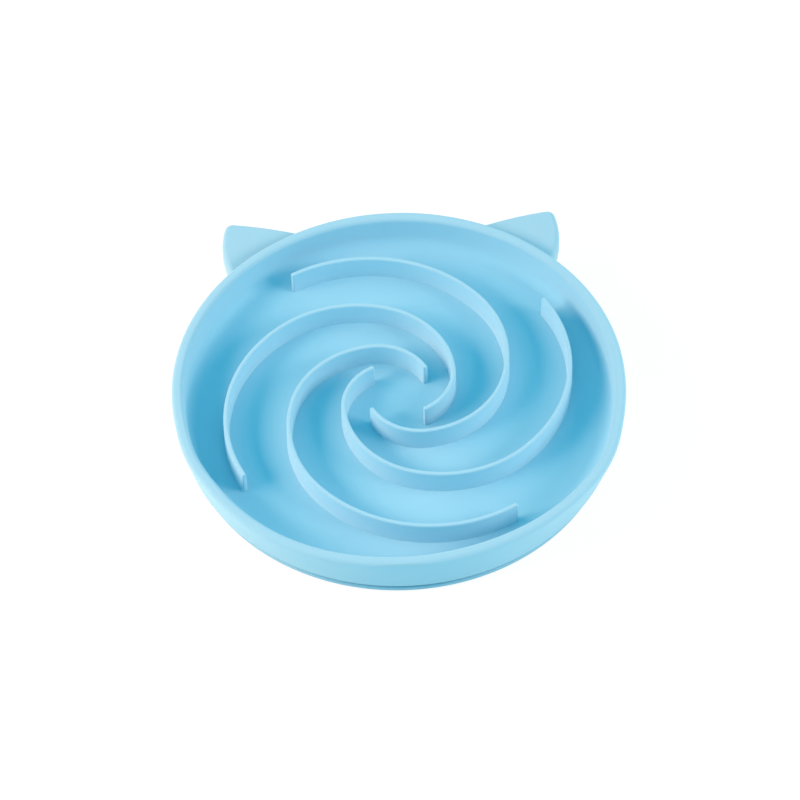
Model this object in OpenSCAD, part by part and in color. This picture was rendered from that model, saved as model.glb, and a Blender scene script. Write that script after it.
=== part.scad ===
// Slow feeder bowl for a cat or small dog: a shallow round bowl with two ears and
// four spiral ribs, moulded in soft rubber, that pushes onto a suction base.
// Millimetres, +Z up, origin on the table under the bowl's axis, ears towards +Y.

/* [Bowl] */
// Outer diameter of the bowl at its rim
rim_d = 200; // [170:1:240]
// Height of the bowl from its flat underside to the crest of the rim
bowl_h = 20.4; // [18:0.1:30]
// Thickness of the side wall at the rim
wall_t = 5.2; // [4.2:0.1:8]
// Lean of the wall's outside, in degrees, narrowing towards the underside
wall_lean = 8.5; // [0:0.5:12]
// Lean of the wall's inside, in degrees, narrowing towards the floor
inside_lean = 2; // [0:0.5:12]
// Thickness of the floor
floor_t = 4.2; // [2:0.1:5]
// Radius of the hollow corner between the wall and the floor
cove_r = 5.5; // [2:0.1:7]
// Radius of each rounded edge of the rim
rim_round = 2; // [0.5:0.1:2]
// Radius of the rounded lower edge of the wall
foot_round = 0.8; // [0.3:0.1:1.5]

/* [Foot ring] */
// Outer diameter of the ring under the bowl that fits the suction base
foot_d = 180; // [150:1:184]
// Width of that ring
foot_w = 5; // [3:0.1:8]
// Height of that ring, which is also the gap seen under the wall
foot_h = 4.2; // [3:0.1:6]

/* [Spiral ribs] */
// Height of the ribs above the floor
rib_h = 11.3; // [8:0.1:14]
// Thickness of the ribs at their top
rib_t = 2; // [1.6:0.1:3]
// Thickness of the ribs where they meet the floor
rib_foot_t = 2.4; // [1.6:0.1:4]
// Radius of each rounded edge along the ribs' top
rib_round = 0.7; // [0.3:0.1:0.8]
// Flat floor left between the ribs' outer ends and the hollow corner
rib_gap = 6.5; // [3:0.1:12]

/* [Ears] */
// Angle between the back of the bowl and the line out to each ear's tip
ear_turn = 36.5; // [25:0.5:50]
// How far the tips stand out past the rim
ear_reach = 25.4; // [15:0.1:30]
// Angle between that line and the ear's outer side, at the tip
ear_outer_angle = 49.5; // [40:0.5:55]
// Radius of the curve along the outer side
ear_outer_bend = 42; // [36:1:120]
// Angle between that line and the ear's back side, at the tip
ear_back_angle = 45; // [40:0.5:55]
// Radius of the curve along the back side
ear_back_bend = 160; // [60:1:300]
// Radius that rounds the tips
ear_tip_r = 3.8; // [3.2:0.1:8]
// Thickness of the ears
ear_t = 8.8; // [6:0.1:12]
// Radius of the ears' rounded upper and lower edges
ear_round = 2.8; // [0.5:0.1:2.9]
// Step down from the crest of the rim to the ears' top
ear_drop = 4.9; // [3:0.1:6]

/* [Suction base] */
// Diameter of the sealing lip that lies on the table
lip_d = 190; // [186:0.5:194]
// Thickness of the sealing lip
lip_t = 2.2; // [1.5:0.1:3]
// Radius of the lip's rounded edge
lip_round = 0.8; // [0.3:0.1:1]
// Clearance around the plug inside the foot ring
plug_gap = 0.3; // [0.2:0.05:0.6]
// Clearance between the top of the plug and the underside of the bowl
plug_top_gap = 0.4; // [0.2:0.05:1]
// Diameter of the hollow that holds the suction, at the table
hollow_d = 160; // [130:1:165]
// Diameter of the flat middle of that hollow
hollow_flat_d = 90; // [20:1:120]
// Depth of that hollow at its middle
hollow_h = 3.2; // [1:0.1:3.5]

/* [Hidden] */
$fn = 96;

RUBBER = "#8fcdec";
RUBBER_DEEP = "#6fb9de";

// Overrun of a cut past the solid that it cuts
over = 1;
// How far the line of the wall's inside runs into the circles that it meets
hair = 0.002;

// Heights, counted from the table
underside_z = lip_t + foot_h;
floor_z = underside_z + floor_t;
crest_z = underside_z + bowl_h;
ear_top_z = crest_z - ear_drop;

// Centres of the two circles that round the rim, and where the wall meets them
rim_r = rim_d / 2;
rim_z = crest_z - rim_round;
rim_out_x = rim_r - rim_round;
rim_in_x = rim_r - wall_t + rim_round;
wall_top = [rim_out_x + rim_round * cos(wall_lean), rim_z - rim_round * sin(wall_lean)];
inside_top = [rim_in_x - rim_round * cos(inside_lean), rim_z + rim_round * sin(inside_lean)];

// Radius of the wall's outside and of its inside at a height
function wall_x(z) = wall_top[0] - (wall_top[1] - z) * tan(wall_lean);
function inside_x(z) = inside_top[0] - (inside_top[1] - z) * tan(inside_lean);

// Centres of the circles that round the wall's lower edge and the hollow corner
foot_edge = [wall_x(underside_z + foot_round) - foot_round / cos(wall_lean), underside_z + foot_round];
cove = [inside_x(floor_z + cove_r) - cove_r / cos(inside_lean), floor_z + cove_r];

// The ribs' centreline is a chain of four arcs that run into each other. Their radii are
// shares of the distance from the bowl's axis to the ribs' outer ends.
arc_shares = [0.290, 0.485, 0.634, 0.796];
arc_angles = [70, 68, 58, 80];
start_share = 0.197;
start_heading = 74.2; // between the radius at the inner end and the rib, in degrees
first_rib_turn = -139.6; // from +X to the inner end of the first rib, in degrees
rib_end_r = cove[0] - rib_gap;
rib_count = 4;
arc_steps = 14;
rib_round_steps = 3;

// The point reached at the end of an arc that sets off from p with a heading and turns left
function arc_end(p, heading, r, turn) =
  [p[0] + r * (sin(heading + turn) - sin(heading)),
   p[1] - r * (cos(heading + turn) - cos(heading))];

// Where each arc starts, on a rib whose inner end lies on +X, for an end distance of 1
function heading_at(i) = i == 0 ? start_heading : heading_at(i - 1) + arc_angles[i - 1];
function start_at(i) = i == 0
  ? [start_share, 0]
  : arc_end(start_at(i - 1), heading_at(i - 1), arc_shares[i - 1], arc_angles[i - 1]);

// Brings the outer end to exactly rib_end_r
spiral_size = rib_end_r / norm(start_at(len(arc_shares)));

// Ears: the distance from the bowl's axis to the tip circle's centre, and the depth from
// there to the middle of the wall. Along each side the disc's centre moves on an arc.
ear_tip_x = rim_r + ear_reach - ear_tip_r;
ear_depth = ear_tip_x - rim_r + wall_t / 2;
ear_facets = 32;
ear_steps = 5;
function ear_side_points(angle, bend, side) =
  let (heading = 180 - side * angle, turn = ear_depth / cos(angle) / bend * 180 / PI)
  [for (i = [1:ear_steps]) arc_end([ear_tip_x, 0], heading, side * bend, side * turn * i / ear_steps)];
ear_points = concat([[ear_tip_x, 0]],
                    ear_side_points(ear_outer_angle, ear_outer_bend, -1),
                    ear_side_points(ear_back_angle, ear_back_bend, 1));

// The plug that the foot ring fits round
plug_r = foot_d / 2 - foot_w - plug_gap;
plug_top_z = underside_z - plug_top_gap;

// Outline of the whole bowl with its food space filled in
module bowl_outline() {
  polygon([[0, underside_z],
           [foot_edge[0], underside_z],
           foot_edge + foot_round * [cos(wall_lean), -sin(wall_lean)],
           wall_top,
           [rim_out_x, crest_z],
           [0, crest_z]]);
  translate(foot_edge) circle(r = foot_round);
  translate([rim_out_x, rim_z]) circle(r = rim_round);
}

// Outline of the food space, with the hollow corner between its floor and its wall. The
// wall's line runs a hair inside both circles, so that it crosses them cleanly.
module food_outline() {
  toward_wall = [cos(inside_lean), -sin(inside_lean)];
  polygon([[0, floor_z],
           [cove[0], floor_z],
           cove + (cove_r - hair) * toward_wall,
           [rim_in_x, rim_z] - (rim_round - hair) * toward_wall,
           [rim_in_x, crest_z],
           [rim_in_x, crest_z + over],
           [0, crest_z + over]]);
  translate(cove) circle(r = cove_r);
}

module bowl_shell() {
  color(RUBBER) rotate_extrude() {
    difference() {
      bowl_outline();
      food_outline();
    }
    translate([rim_in_x, rim_z]) circle(r = rim_round);
  }
}

module foot_ring() {
  color(RUBBER) translate([0, 0, lip_t]) rotate_extrude()
    translate([foot_d / 2 - foot_w, 0]) square([foot_w, foot_h]);
}

// Half of a rib's section, from the floor up to the middle of its rounded top, as
// [distance from the path, height] pairs
rib_corner = [for (i = [0:rib_round_steps]) let (a = 90 * i / rib_round_steps)
  [rib_t / 2 - rib_round * (1 - cos(a)), rib_h - rib_round * (1 - sin(a))]];
rib_half = concat([[rib_foot_t / 2, 0]], rib_corner);
rib_section = concat(rib_half, [for (i = [len(rib_half) - 1:-1:0]) [-rib_half[i][0], rib_half[i][1]]]);

// Stations along the path, each with its place, its heading and the arc that it lies on
function station(i, step) = let (turn = arc_angles[i] * step / arc_steps)
  [arc_end(start_at(i), heading_at(i), arc_shares[i], turn), heading_at(i) + turn];
stations = concat([for (i = [0:len(arc_shares) - 1]) for (step = [0:arc_steps - 1]) station(i, step)],
                  [station(len(arc_shares) - 1, arc_steps)]);

// A rib: its section carried along the stations, with triangles between and a cap at each end
module rib_sweep() {
  sides = len(rib_section);
  last = len(stations) - 1;
  points = [for (s = stations) for (p = rib_section)
    [spiral_size * s[0][0] + p[0] * sin(s[1]), spiral_size * s[0][1] - p[0] * cos(s[1]), p[1]]];
  walls = [for (s = [0:last - 1]) for (k = [0:sides - 1])
    let (a = s * sides + k, b = s * sides + (k + 1) % sides) each [[a, b, b + sides], [a, b + sides, a + sides]]];
  end = last * sides;
  caps = [for (k = [1:sides - 2]) each [[0, k + 1, k], [end, end + k, end + k + 1]]];
  polyhedron(points = points, faces = concat(walls, caps));
}

module spiral_rib(number) {
  color(RUBBER) translate([0, 0, floor_z])
    rotate([0, 0, first_rib_turn - (number - 1) * 360 / rib_count]) rib_sweep();
}

// A disc as thick as the ears, rounded above and below
module ear_disc() {
  rotate_extrude($fn = ear_facets) intersection() {
    union() {
      square([ear_tip_r - ear_round, ear_t]);
      translate([0, ear_round]) square([ear_tip_r, ear_t - 2 * ear_round]);
      for (z = [ear_round, ear_t - ear_round]) {
        translate([ear_tip_r - ear_round, z]) circle(r = ear_round, $fn = ear_facets);
      }
    }
    square([ear_tip_r, ear_t]);
  }
}

// An ear on the right: discs along both sides drawn together, cut back to the wall's outside
module right_ear() {
  color(RUBBER) difference() {
    rotate([0, 0, 90 - ear_turn]) translate([0, 0, ear_top_z - ear_t]) hull()
      for (p = ear_points) translate(p) ear_disc();
    translate([0, 0, underside_z - over])
      cylinder(r1 = wall_x(underside_z - over), r2 = wall_x(crest_z), h = bowl_h + over);
  }
}

module left_ear() { mirror([1, 0, 0]) right_ear(); }

// The base in section: lip, plug and the shallow hollow under them
module suction_base() {
  color(RUBBER_DEEP) rotate_extrude() difference() {
    union() {
      square([lip_d / 2 - lip_round, lip_t]);
      translate([0, lip_round]) square([lip_d / 2, lip_t - 2 * lip_round]);
      for (z = [lip_round, lip_t - lip_round]) {
        translate([lip_d / 2 - lip_round, z]) circle(r = lip_round);
      }
      square([plug_r, plug_top_z]);
    }
    polygon([[0, -over], [hollow_d / 2, -over], [hollow_d / 2, 0], [hollow_flat_d / 2, hollow_h], [0, hollow_h]]);
  }
}

suction_base();
bowl_shell();
foot_ring();
left_ear();
right_ear();
spiral_rib(1);  // spiral_rib_1
spiral_rib(2);  // spiral_rib_2
spiral_rib(3);  // spiral_rib_3
spiral_rib(4);  // spiral_rib_4
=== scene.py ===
# Slow feeder bowl in soft blue rubber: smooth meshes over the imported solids, a studio and the camera.
# Lengths are in metres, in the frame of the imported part.
import math

import bmesh
import bpy
from mathutils import Matrix, Vector


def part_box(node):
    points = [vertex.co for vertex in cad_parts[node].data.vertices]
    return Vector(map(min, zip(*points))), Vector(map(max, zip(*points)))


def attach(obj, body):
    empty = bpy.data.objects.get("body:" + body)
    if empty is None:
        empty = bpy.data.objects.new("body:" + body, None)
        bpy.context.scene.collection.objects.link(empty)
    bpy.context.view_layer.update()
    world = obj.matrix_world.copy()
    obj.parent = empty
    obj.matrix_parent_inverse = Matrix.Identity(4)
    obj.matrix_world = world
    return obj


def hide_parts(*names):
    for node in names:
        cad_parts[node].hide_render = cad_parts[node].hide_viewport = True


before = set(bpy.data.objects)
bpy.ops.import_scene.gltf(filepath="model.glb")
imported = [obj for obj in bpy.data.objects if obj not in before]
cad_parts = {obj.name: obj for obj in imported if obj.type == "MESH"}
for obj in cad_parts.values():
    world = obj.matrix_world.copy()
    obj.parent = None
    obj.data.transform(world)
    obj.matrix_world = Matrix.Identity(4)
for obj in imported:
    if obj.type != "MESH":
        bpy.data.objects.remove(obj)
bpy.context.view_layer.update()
print("frame loaded:", len(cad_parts), "nodes")

mm = 0.001
shellLow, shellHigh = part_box("bowl_shell")
ribLow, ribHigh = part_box("spiral_rib_1")
earLow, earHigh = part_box("right_ear")
ringLow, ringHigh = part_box("foot_ring")
baseLow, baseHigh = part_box("suction_base")


# Meshes

meshing = {
    "mergeGap": 0.002 * mm,                 # points nearer than this become one
    "cornerSegments": 10,                   # steps of each rounding in a revolved section
    "longEdge": 4 * mm,                     # section edges longer than this are cut up
    "evenWeight": 80,                       # how strongly large faces lead the shading
}


def finishPiece(bm, name, material, body, nodes, weighted=False):
    # a closed mesh becomes an object that rides on its body and stands for its nodes
    bmesh.ops.remove_doubles(bm, verts=bm.verts, dist=meshing["mergeGap"])
    bmesh.ops.recalc_face_normals(bm, faces=bm.faces)
    openEdges = sum(1 for edge in bm.edges if len(edge.link_faces) != 2)
    for face in bm.faces:
        face.smooth = True
    mesh = bpy.data.meshes.new(name)
    bm.to_mesh(mesh)
    bm.free()
    mesh.materials.append(material)
    piece = bpy.data.objects.new(name, mesh)
    bpy.context.scene.collection.objects.link(piece)
    if weighted:
        even = piece.modifiers.new("even shading", "WEIGHTED_NORMAL")
        even.weight = meshing["evenWeight"]
    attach(piece, body)
    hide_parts(*nodes)
    print(name, "made:", len(mesh.polygons), "faces,", openEdges, "open edges")


def turned(point, centre, angle):
    return centre + Matrix.Rotation(angle, 3, "Z") @ (point - centre)


def leftOf(point, heading, distance):
    # a point to the left of heading, or to its right where distance is negative
    return point + distance * Vector((-math.sin(heading), math.cos(heading), 0))


def revolve(bm, corners, closed, steps, cuts):
    # corners: [distance from the axis, height, rounding] of a section, which is rounded, cut up and spun
    verts = [bm.verts.new((x, 0, z)) for x, z, rounding in corners]
    pairs = list(zip(verts, verts[1:]))
    if closed:
        pairs.append((verts[-1], verts[0]))
    for start, end in pairs:
        bm.edges.new((start, end))
    for i, (x, z, rounding) in enumerate(corners):
        if rounding > 0:
            here = Vector((x, 0, z))
            lastX, lastZ, _ = corners[i - 1]
            nextX, nextZ, _ = corners[(i + 1) % len(corners)]
            between = (Vector((lastX, 0, lastZ)) - here).angle(Vector((nextX, 0, nextZ)) - here)
            offset = rounding / math.tan(between / 2)
            bmesh.ops.bevel(bm, geom=[verts[i]], offset=offset, offset_type="OFFSET",
                            segments=meshing["cornerSegments"], profile=0.5, affect="VERTICES",
                            clamp_overlap=False, material=-1)
    long = [edge for edge in bm.edges if edge.calc_length() > meshing["longEdge"]]
    bmesh.ops.subdivide_edges(bm, edges=long, cuts=cuts)
    bmesh.ops.spin(bm, geom=bm.verts[:] + bm.edges[:], cent=(0, 0, 0), axis=(0, 0, 1),
                   angle=2 * math.pi, steps=steps, use_merge=True)


# Materials

class Wire:
    # a node's output; maths on it adds Math nodes
    def __init__(self, recipe, socket):
        self.recipe = recipe
        self.socket = socket

    def math(self, operation, a, b):
        return self.recipe.add("ShaderNodeMath", {"operation": operation}, {0: a, 1: b})

    def __add__(self, other):
        return self.math("ADD", self, other)

    def __radd__(self, other):
        return self.math("ADD", other, self)

    def __sub__(self, other):
        return self.math("SUBTRACT", self, other)

    def __rsub__(self, other):
        return self.math("SUBTRACT", other, self)

    def __mul__(self, other):
        return self.math("MULTIPLY", self, other)

    def __rmul__(self, other):
        return self.math("MULTIPLY", other, self)

    def __truediv__(self, other):
        return self.math("DIVIDE", self, other)

    def __rtruediv__(self, other):
        return self.math("DIVIDE", other, self)


class Recipe:
    # one material or world and the nodes in it
    def __init__(self, holder):
        self.holder = holder
        holder.use_nodes = True
        self.tree = holder.node_tree
        self.tree.nodes.clear()

    def add(self, kind, settings=None, inputs=None, output=0):
        node = self.tree.nodes.new(kind)
        for name, value in (settings or {}).items():
            setattr(node, name, value)
        for name, value in (inputs or {}).items():
            if isinstance(value, Wire):
                self.tree.links.new(value.socket, node.inputs[name])
            else:
                node.inputs[name].default_value = value
        return Wire(self, node.outputs[output]) if node.outputs else None

    def mixColors(self, factor, first, second):
        inputs = {0: factor, 6: first, 7: second}
        return self.add("ShaderNodeMix", {"data_type": "RGBA"}, inputs, output=2)


rubberLook = {
    "color": (0.155, 0.481, 0.645),        # the silicone's dyed colour, under a pale bloom
    "paler": (0.180, 0.505, 0.670),
    "paintedHighlight": (0.280, 0.467, 0.582),         # painted highlight: paler towards the tops of the rim, ribs and ears, where the light falls
    "highlightBreak": 0.5,                      # how much the scuff noise breaks up the painted highlight
    "mottleSize": 38 * mm,
    "mottleDetail": 4.0,
    "scuffSize": 9 * mm,
    "scuffDetail": 5.0,
    "scuffHarshness": 0.65,
    "grainSize": 0.45 * mm,
    "grainDetail": 2.0,
    "grainDepth": 0.010 * mm,
    "roughness": 0.55,
    "roughnessSpread": 0.12,
    "shine": 0.3,
    "ior": 1.41,
    "bloom": 0.6,                          # soft powdery sheen of moulded silicone
    "bloomRoughness": 1.0,
}

paintedLightByPart = {                               # heights where the painted highlight begins and is full, and each part's painted lightness
    # painted light and shade: the ribs' rubber is painted lighter, the ears' and base's darker, than the
    # bowl's
    "bowl": {"highlightFrom": shellHigh.z - 2.4 * mm, "highlightTo": shellHigh.z - 0.3 * mm, "paintedLightness": 1.0},
    "rib": {"highlightFrom": ribHigh.z - 0.9 * mm, "highlightTo": ribHigh.z - 0.1 * mm, "paintedLightness": 1.05},
    "ear": {"highlightFrom": earLow.z, "highlightTo": earHigh.z, "paintedLightness": 0.96},
    # the painted highlight would begin at the base's top, so none of it shows
    "base": {"highlightFrom": baseHigh.z, "highlightTo": baseHigh.z + 1 * mm, "paintedLightness": 0.94},
}


def tinted(color, paintedLightness):
    return [channel * paintedLightness for channel in color] + [1]


def rubber(name, look, partPaintedLight):
    recipe = Recipe(bpy.data.materials.new(name))
    place = recipe.add("ShaderNodeTexCoord", output="Object")
    mottle = recipe.add("ShaderNodeTexNoise", {}, {
        "Vector": place,
        "Scale": 1 / look["mottleSize"],
        "Detail": look["mottleDetail"],
    })
    scuff = recipe.add("ShaderNodeTexNoise", {}, {
        "Vector": place,
        "Scale": 1 / look["scuffSize"],
        "Detail": look["scuffDetail"],
        "Roughness": look["scuffHarshness"],
    })
    grain = recipe.add("ShaderNodeTexNoise", {}, {
        "Vector": place,
        "Scale": 1 / look["grainSize"],
        "Detail": look["grainDetail"],
    })
    # each part's copy of the rubber is painted lighter or darker, in place of light and shade, over the
    # mottled dye
    paintedLightness = partPaintedLight["paintedLightness"]
    dyeAndPaintedLightness = recipe.mixColors(mottle, tinted(look["color"], paintedLightness), tinted(look["paler"], paintedLightness))
    height = recipe.add("ShaderNodeSeparateXYZ", {}, {"Vector": place}, "Z")
    # painted highlight: paler towards each part's top, where the light falls, broken up by the scuff noise
    high = recipe.add("ShaderNodeMapRange", {"interpolation_type": "SMOOTHSTEP"}, {
        "Value": height,
        "From Min": partPaintedLight["highlightFrom"],
        "From Max": partPaintedLight["highlightTo"],
    })
    highlightMask = recipe.add("ShaderNodeMath", {"operation": "MULTIPLY", "use_clamp": True}, {
        0: high,
        1: (scuff - 0.5) * (2 * look["highlightBreak"]) + 1,
    })
    bump = recipe.add("ShaderNodeBump", {}, {
        "Height": grain,
        "Distance": look["grainDepth"],
        "Strength": 1.0,
    })
    skin = recipe.add("ShaderNodeBsdfPrincipled", {}, {
        "Base Color": recipe.mixColors(highlightMask, dyeAndPaintedLightness, tinted(look["paintedHighlight"], paintedLightness)),
        "Roughness": scuff * look["roughnessSpread"] + (look["roughness"] - look["roughnessSpread"] / 2),
        "Normal": bump,
        "Sheen Weight": look["bloom"],
        "Sheen Roughness": look["bloomRoughness"],
        "Specular IOR Level": look["shine"],
        "IOR": look["ior"],
    })
    recipe.add("ShaderNodeOutputMaterial", {}, {"Surface": skin})
    return recipe.holder


bowlRubber = rubber("bowlRubber", rubberLook, paintedLightByPart["bowl"])
ribRubber = rubber("ribRubber", rubberLook, paintedLightByPart["rib"])
earRubber = rubber("earRubber", rubberLook, paintedLightByPart["ear"])
baseRubber = rubber("baseRubber", rubberLook, paintedLightByPart["base"])
print("materials made")


# Bowl: floor, rounded corner, wall and rim in one revolved section

shell = {
    "wallT": 5.2 * mm,
    "wallLean": math.radians(8.5),
    "insideLean": math.radians(2),
    "floorT": 4.2 * mm,
    "coveR": 5.5 * mm,
    "rimRound": 2 * mm,
    "footRound": 0.8 * mm,
    "steps": 240,
    "cuts": 5,
    "bulges": [                             # azimuth, spread and size of where the soft rim stands out
        (236, 30, 2.2 * mm),
        (202, 8, 0.8 * mm),
        (321, 23, 2.1 * mm),
        (332, 10, 1.3 * mm),
    ],
    "bulgeFrom": 84 * mm,                   # distance from the axis where they begin
}
shell["floorZ"] = shellLow.z + shell["floorT"]
innerR = shellHigh.x - shell["wallT"]


def wallAt(z, topX, lean, side):
    # how far out the wall's outside (side 1) or inside (side -1) is at height z: it leaves its
    # rounded top at topX and leans inwards on the way down
    rounding = shell["rimRound"]
    drop = shellHigh.z - rounding - z
    return topX - drop * math.tan(lean) + side * rounding * (1 / math.cos(lean) - 1)


def bulgeAt(azimuth):
    bulge = 0
    for middle, spread, size in shell["bulges"]:
        bulge += size * math.exp(-((azimuth - middle) / spread) ** 2)
    return bulge


def makeShell():
    bm = bmesh.new()
    lowZ, floorZ, rimZ = shellLow.z, shell["floorZ"], shellHigh.z
    corners = [
        [0, lowZ, 0],
        [wallAt(lowZ, shellHigh.x, shell["wallLean"], 1), lowZ, shell["footRound"]],
        [wallAt(rimZ, shellHigh.x, shell["wallLean"], 1), rimZ, shell["rimRound"]],
        [wallAt(rimZ, innerR, shell["insideLean"], -1), rimZ, shell["rimRound"]],
        [wallAt(floorZ, innerR, shell["insideLean"], -1), floorZ, shell["coveR"]],
        [0, floorZ, 0],
    ]
    revolve(bm, corners, False, shell["steps"], shell["cuts"])
    for vert in bm.verts:
        reach = vert.co.xy.length
        if reach > shell["bulgeFrom"]:
            azimuth = math.degrees(math.atan2(vert.co.y, vert.co.x)) % 360
            outward = min(1, (reach - shell["bulgeFrom"]) / (innerR - shell["bulgeFrom"]))
            rise = (vert.co.z - lowZ) / (rimZ - lowZ)
            vert.co.xy *= 1 + bulgeAt(azimuth) * outward * rise / reach
            vert.co.y = max(vert.co.y, shellLow.y)          # the bulges stay inside the solids' box
            vert.co.x = min(max(vert.co.x, shellLow.x), shellHigh.x)
    finishPiece(bm, "bowlBody", bowlRubber, "bowl", ["bowl_shell"])


makeShell()


# Foot ring and suction base

ring = {"width": 5 * mm, "edge": 0.4 * mm, "steps": 180, "cuts": 1}


def makeFootRing():
    bm = bmesh.new()
    outer, inner = ringHigh.x, ringHigh.x - ring["width"]
    low, high = ringLow.z, ringHigh.z
    corners = [
        [inner, low, ring["edge"]],
        [outer, low, ring["edge"]],
        [outer, high, 0],
        [inner, high, 0],
    ]
    revolve(bm, corners, True, ring["steps"], ring["cuts"])
    finishPiece(bm, "footRing", bowlRubber, "bowl", ["foot_ring"])


base = {
    "lipT": 2.2 * mm,
    "lipRound": 0.8 * mm,
    "plugGap": 0.3 * mm,
    "plugRound": 0.6 * mm,
    "hollowR": 80 * mm,
    "hollowFlatR": 45 * mm,
    "hollowH": 3.2 * mm,
    "hollowRound": 3 * mm,
    "steps": 240,
    "cuts": 4,
}


def makeBase():
    bm = bmesh.new()
    plugR = ringHigh.x - ring["width"] - base["plugGap"]
    corners = [
        [0, base["hollowH"], 0],
        [base["hollowFlatR"], base["hollowH"], base["hollowRound"]],
        [base["hollowR"], 0, 0],
        [baseHigh.x, 0, base["lipRound"]],
        [baseHigh.x, base["lipT"], base["lipRound"]],
        [plugR, base["lipT"], 0],
        [plugR, baseHigh.z, base["plugRound"]],
        [0, baseHigh.z, 0],
    ]
    revolve(bm, corners, False, base["steps"], base["cuts"])
    finishPiece(bm, "suctionBase", baseRubber, "base", ["suction_base"])


makeFootRing()
makeBase()


# Ribs: a section carried along four arcs that run into each other

rib = {
    "topT": 2 * mm,
    "footT": 2.4 * mm,
    "round": 0.7 * mm,
    "roundSegments": 4,
    "roundFrom": 40,                        # edges that turn more than this many degrees are rounded
    "sink": 0.3 * mm,                       # how far the foot reaches into the floor
    "radiusShares": [0.290, 0.485, 0.634, 0.796],
    "angles": [70, 68, 58, 80],
    "endTurns": [-1.7, 0.7, 0.8, -2.3],     # the outer ends aren't quite alike
    "startShare": 0.197,
    "startHeading": 74.2,
    "firstTurn": -139.6,
    "endGap": 6.5 * mm,                     # floor between the outer ends and the rounded corner
    "stepLength": 1.3 * mm,
    "leastSteps": 6,
    "count": 4,
}


def ribScale():
    # the length of one share: brings the outer ends to their place before the rounded corner
    point, heading = Vector((rib["startShare"], 0, 0)), math.radians(rib["startHeading"])
    for share, angle in zip(rib["radiusShares"], rib["angles"]):
        point = turned(point, leftOf(point, heading, share), math.radians(angle))
        heading += math.radians(angle)
    coveTop = shell["floorZ"] + shell["coveR"]
    wallX = innerR - (shellHigh.z - shell["rimRound"] - coveTop) * math.tan(shell["insideLean"])
    return (wallX - shell["coveR"] - rib["endGap"]) / point.length


def makeRib(number):
    bm = bmesh.new()
    size = ribScale()
    footZ = shell["floorZ"] - rib["sink"]
    point, heading = Vector((rib["startShare"] * size, 0, 0)), math.radians(rib["startHeading"])
    across = Vector((math.sin(heading), -math.cos(heading), 0))
    up = Vector((0, 0, 1))
    corners = [
        (rib["footT"] / 2, footZ),
        (rib["topT"] / 2, ribHigh.z),
        (-rib["topT"] / 2, ribHigh.z),
        (-rib["footT"] / 2, footZ),
    ]
    section = bm.faces.new([bm.verts.new(point + side * across + z * up) for side, z in corners])
    geom = section.verts[:] + section.edges[:] + [section]
    angles = rib["angles"][:-1] + [rib["angles"][-1] + rib["endTurns"][number - 1]]
    for share, angle in zip(rib["radiusShares"], angles):
        turn = math.radians(angle)
        centre = leftOf(point, heading, share * size)
        steps = max(rib["leastSteps"], round(share * size * turn / rib["stepLength"]))
        spun = bmesh.ops.spin(bm, geom=geom, cent=centre, axis=(0, 0, 1), angle=turn, steps=steps)
        geom = spun["geom_last"]
        point, heading = turned(point, centre, turn), heading + turn
    bmesh.ops.remove_doubles(bm, verts=bm.verts, dist=meshing["mergeGap"])
    bmesh.ops.recalc_face_normals(bm, faces=bm.faces)
    upper = [edge for edge in bm.edges if len(edge.link_faces) == 2
             and edge.calc_face_angle() > math.radians(rib["roundFrom"])
             and max(vert.co.z for vert in edge.verts) > shell["floorZ"]]
    bmesh.ops.bevel(bm, geom=upper, offset=rib["round"], offset_type="OFFSET",
                    segments=rib["roundSegments"], profile=0.5, affect="EDGES",
                    clamp_overlap=False, material=-1)
    place = Matrix.Rotation(math.radians(rib["firstTurn"] - (number - 1) * 360 / rib["count"]), 3, "Z")
    bmesh.ops.rotate(bm, verts=bm.verts, cent=(0, 0, 0), matrix=place)
    nodes = [f"spiral_rib_{number}"]
    finishPiece(bm, f"spiralRib{number}", ribRubber, "bowl", nodes, weighted=True)


for number in range(1, rib["count"] + 1):
    makeRib(number)


# Ears: an outline of arcs, closed inside the wall, drawn up and rounded

ear = {
    "turn": 36.5,
    "reach": 25.4 * mm,
    "outerAngle": 49.5,
    "outerBend": 42 * mm,
    "backAngle": 45,
    "backBend": 160 * mm,
    "tipR": 3.8 * mm,
    "round": 2.7 * mm,
    "roundSegments": 7,
    "sideSteps": 20,
    "tipSteps": 14,
    "rootDepth": 2.6 * mm,                  # how far the root lies inside the wall's outer edge
    "runOn": 9 * mm,                        # it first runs on this much deeper, and is then pressed back
    "rootMargin": 0.05 * mm,                # edges this near to the deep root stay sharp
    "slack": 0.01 * mm,                     # for joining points and telling level edges
}


def turnToReach(point, centre, reach, sign):
    # the angle about centre that brings point to a distance from the bowl's axis: left where sign is 1
    arm = point - centre
    cosine = (arm.length_squared + centre.length_squared - reach ** 2) / (2 * arm.length * centre.length)
    spread = math.acos(cosine)
    start, home = math.atan2(arm.y, arm.x), math.atan2(-centre.y, -centre.x)
    options = [(home + way * spread - start) % (2 * math.pi) for way in (-1, 1)]
    return min(options) if sign > 0 else max(options) - 2 * math.pi


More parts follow.
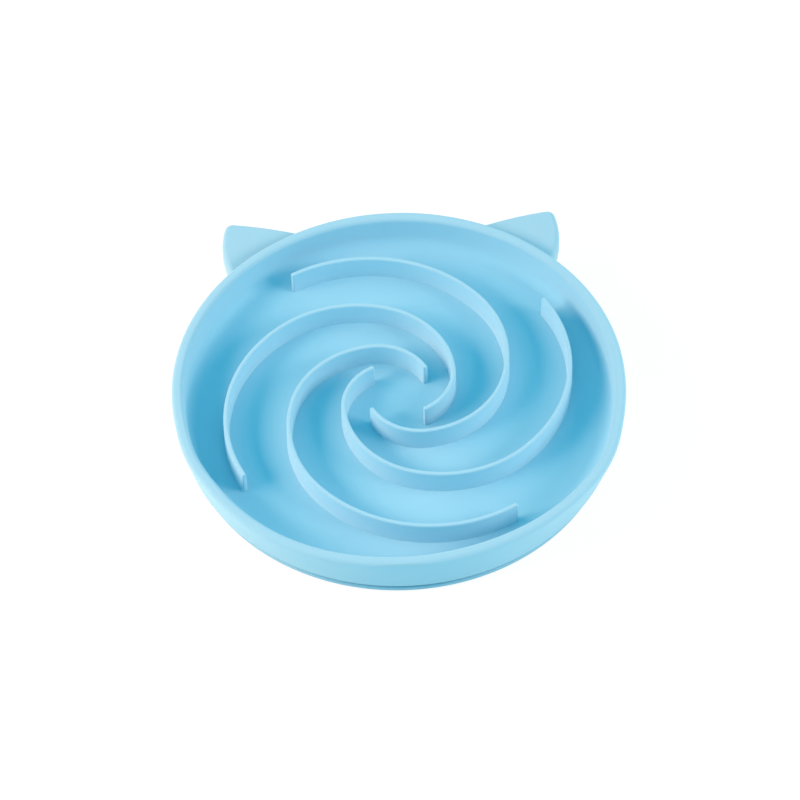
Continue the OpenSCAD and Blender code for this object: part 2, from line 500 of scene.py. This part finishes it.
def makeEar(name, node, side):
    bm = bmesh.new()
    tip = Vector((shellHigh.x + ear["reach"] - ear["tipR"], 0, 0))
    rootR = shellHigh.x - ear["rootDepth"] - ear["runOn"]
    outerHeading = math.radians(180 + ear["outerAngle"])
    backHeading = math.radians(180 - ear["backAngle"])
    outerCentre = leftOf(tip, outerHeading, -ear["outerBend"])
    backCentre = leftOf(tip, backHeading, ear["backBend"])
    backStart = leftOf(tip, backHeading, -ear["tipR"])
    tipTurn = math.radians(ear["outerAngle"] + ear["backAngle"] - 180)
    outerStart = turned(backStart, tip, tipTurn)
    backTurn = turnToReach(backStart, backCentre, rootR, 1)
    outerTurn = turnToReach(outerStart, outerCentre, rootR, -1)
    backEnd = turned(backStart, backCentre, backTurn)
    outerEnd = turned(outerStart, outerCentre, outerTurn)
    rootTurn = math.atan2(backEnd.y, backEnd.x) - math.atan2(outerEnd.y, outerEnd.x)

    first = bm.verts.new(backStart)
    bmesh.ops.spin(bm, geom=[first], cent=backCentre, axis=(0, 0, 1), angle=backTurn,
                   steps=ear["sideSteps"])
    geom = [first]
    for centre, turn, steps in (
        (tip, tipTurn, ear["tipSteps"]),
        (outerCentre, outerTurn, ear["sideSteps"]),
        ((0, 0, 0), rootTurn, ear["sideSteps"]),
    ):
        spun = bmesh.ops.spin(bm, geom=geom, cent=centre, axis=(0, 0, 1), angle=turn, steps=steps)
        geom = spun["geom_last"]
    bmesh.ops.remove_doubles(bm, verts=bm.verts, dist=ear["slack"])
    bmesh.ops.translate(bm, verts=bm.verts, vec=(0, 0, earLow.z))
    bmesh.ops.contextual_create(bm, geom=bm.edges[:])
    risen = bmesh.ops.extrude_face_region(bm, geom=bm.faces[:])["geom"]
    bmesh.ops.translate(bm, verts=[item for item in risen if isinstance(item, bmesh.types.BMVert)],
                        vec=(0, 0, earHigh.z - earLow.z))
    rimEdges = [edge for edge in bm.edges
                if abs(edge.verts[0].co.z - edge.verts[1].co.z) < ear["slack"]
                and max(vert.co.xy.length for vert in edge.verts) > rootR + ear["rootMargin"]]
    bmesh.ops.bevel(bm, geom=rimEdges, offset=ear["round"], offset_type="OFFSET",
                    segments=ear["roundSegments"], profile=0.5, affect="EDGES",
                    clamp_overlap=False, material=-1)
    for vert in bm.verts:
        if vert.co.xy.length < rootR + ear["runOn"]:
            vert.co.xy = vert.co.xy.normalized() * (rootR + ear["runOn"])
    place = Matrix.Rotation(math.radians(90 - ear["turn"]), 3, "Z")
    bmesh.ops.rotate(bm, verts=bm.verts, cent=(0, 0, 0), matrix=place)
    bmesh.ops.scale(bm, verts=bm.verts, vec=(side, 1, 1))
    finishPiece(bm, name, earRubber, "bowl", [node], weighted=True)


makeEar("rightEar", "right_ear", 1)
makeEar("leftEar", "left_ear", -1)


# Studio: a pale floor, a white background that the camera sees, and soft lamps

studio = {
    "floorSize": 6.0,
    "floorColor": (0.84, 0.80, 0.78, 1),
    "floorSeen": (1.00, 0.69, 0.64, 1),     # evens out the cool light, so that the shadow is grey
    "floorShade": 0.30,                     # share of the floor's own shading that shows by the bowl
    "floorReach": 0.5,                      # and how far from the bowl it fades out
    "floorWhite": 1.15,
    "backdrop": (1, 1, 1, 1),
    "fill": (0.07, 0.65, 0.86, 1),          # cool light from the room
    "lampSize": 0.4,
    "lampDistance": 1.3,
}

lamps = {                                   # azimuth: 0 is the right, 90 the back
    "leftBox": {"azimuth": 180, "height": 32, "power": 5.0, "color": (1.00, 0.65, 0.47)},
    "frontLeftBox": {"azimuth": 200, "height": 32, "power": 7.2, "color": (1.00, 0.77, 0.63)},
    "frontRightBox": {"azimuth": 340, "height": 32, "power": 5.2, "color": (1.00, 0.80, 0.69)},
    "rightBox": {"azimuth": 0, "height": 22, "power": 5.1, "color": (1.00, 0.77, 0.65)},
    "backLeftBox": {"azimuth": 160, "height": 22, "power": 3.9, "color": (1.00, 0.70, 0.54)},
}


def makeFloor():
    bm = bmesh.new()
    bmesh.ops.create_grid(bm, x_segments=1, y_segments=1, size=studio["floorSize"])
    mesh = bpy.data.meshes.new("studioFloor")
    bm.to_mesh(mesh)
    bm.free()
    floor = bpy.data.objects.new("studioFloor", mesh)
    bpy.context.scene.collection.objects.link(floor)
    recipe = Recipe(bpy.data.materials.new("studioFloor"))
    ray = recipe.add("ShaderNodeLightPath", output="Is Camera Ray")
    place = recipe.add("ShaderNodeTexCoord", output="Object")
    away = recipe.add("ShaderNodeVectorMath", {"operation": "LENGTH"}, {0: place}, "Value")
    shade = recipe.add("ShaderNodeMath", {"operation": "SUBTRACT", "use_clamp": True}, {
        0: 1.0,
        1: away / studio["floorReach"],
    })
    seen = recipe.mixColors(ray, studio["floorColor"], studio["floorSeen"])
    matt = recipe.add("ShaderNodeBsdfDiffuse", {}, {"Color": seen})
    white = recipe.add("ShaderNodeEmission", {}, {
        "Color": studio["backdrop"],
        "Strength": studio["floorWhite"],
    })
    mixed = recipe.add("ShaderNodeMixShader", {}, {
        0: ray * (1 - shade * studio["floorShade"]),
        1: matt,
        2: white,
    })
    recipe.add("ShaderNodeOutputMaterial", {}, {"Surface": mixed})
    mesh.materials.append(recipe.holder)


def makeWorld():
    world = bpy.data.worlds.new("studioWorld")
    bpy.context.scene.world = world
    recipe = Recipe(world)
    backdrop = recipe.add("ShaderNodeLightPath", output="Is Camera Ray")
    for kind in ("Is Glossy Ray", "Is Transmission Ray"):
        ray = recipe.add("ShaderNodeLightPath", output=kind)
        backdrop = recipe.add("ShaderNodeMath", {"operation": "MAXIMUM"}, {0: backdrop, 1: ray})
    color = recipe.mixColors(backdrop, studio["fill"], studio["backdrop"])
    sky = recipe.add("ShaderNodeBackground", {}, {"Color": color, "Strength": 1.0})
    recipe.add("ShaderNodeOutputWorld", {}, {"Surface": sky})


def makeLamp(name, lamp):
    data = bpy.data.lights.new(name, "AREA")
    data.shape = "SQUARE"
    data.size = studio["lampSize"]
    data.color = lamp["color"]
    data.energy = lamp["power"]
    box = bpy.data.objects.new(name, data)
    bpy.context.scene.collection.objects.link(box)
    azimuth, height = math.radians(lamp["azimuth"]), math.radians(lamp["height"])
    level = math.cos(height)
    away = Vector((math.cos(azimuth) * level, math.sin(azimuth) * level, math.sin(height)))
    box.location = away * studio["lampDistance"]
    box.rotation_euler = away.to_track_quat("Z", "Y").to_euler()


makeFloor()
makeWorld()
for name, lamp in lamps.items():
    makeLamp(name, lamp)
print("studio made")


# Camera: the photograph's own view

view = {
    "place": (-17.02 * mm, -960.60 * mm, 1205.16 * mm),
    "turn": -1.04,                          # degrees about the bowl's axis
    "tilt": 38.86,                          # degrees up from straight down
    "roll": -1.71,
    "lens": 155.32,
    "sensor": 36.0,
    "clipEnd": 50,
}
cameraData = bpy.data.cameras.new("camera")
cameraData.lens = view["lens"]
cameraData.sensor_width = view["sensor"]
cameraData.clip_end = view["clipEnd"]
camera = bpy.data.objects.new("camera", cameraData)
bpy.context.scene.collection.objects.link(camera)
camera.matrix_world = Matrix.Translation(view["place"]) \
    @ Matrix.Rotation(math.radians(view["turn"]), 4, "Z") \
    @ Matrix.Rotation(math.radians(view["tilt"]), 4, "X") \
    @ Matrix.Rotation(math.radians(view["roll"]), 4, "Z")
bpy.context.scene.camera = camera
bpy.context.scene.view_settings.view_transform = "Standard"
print("camera made")
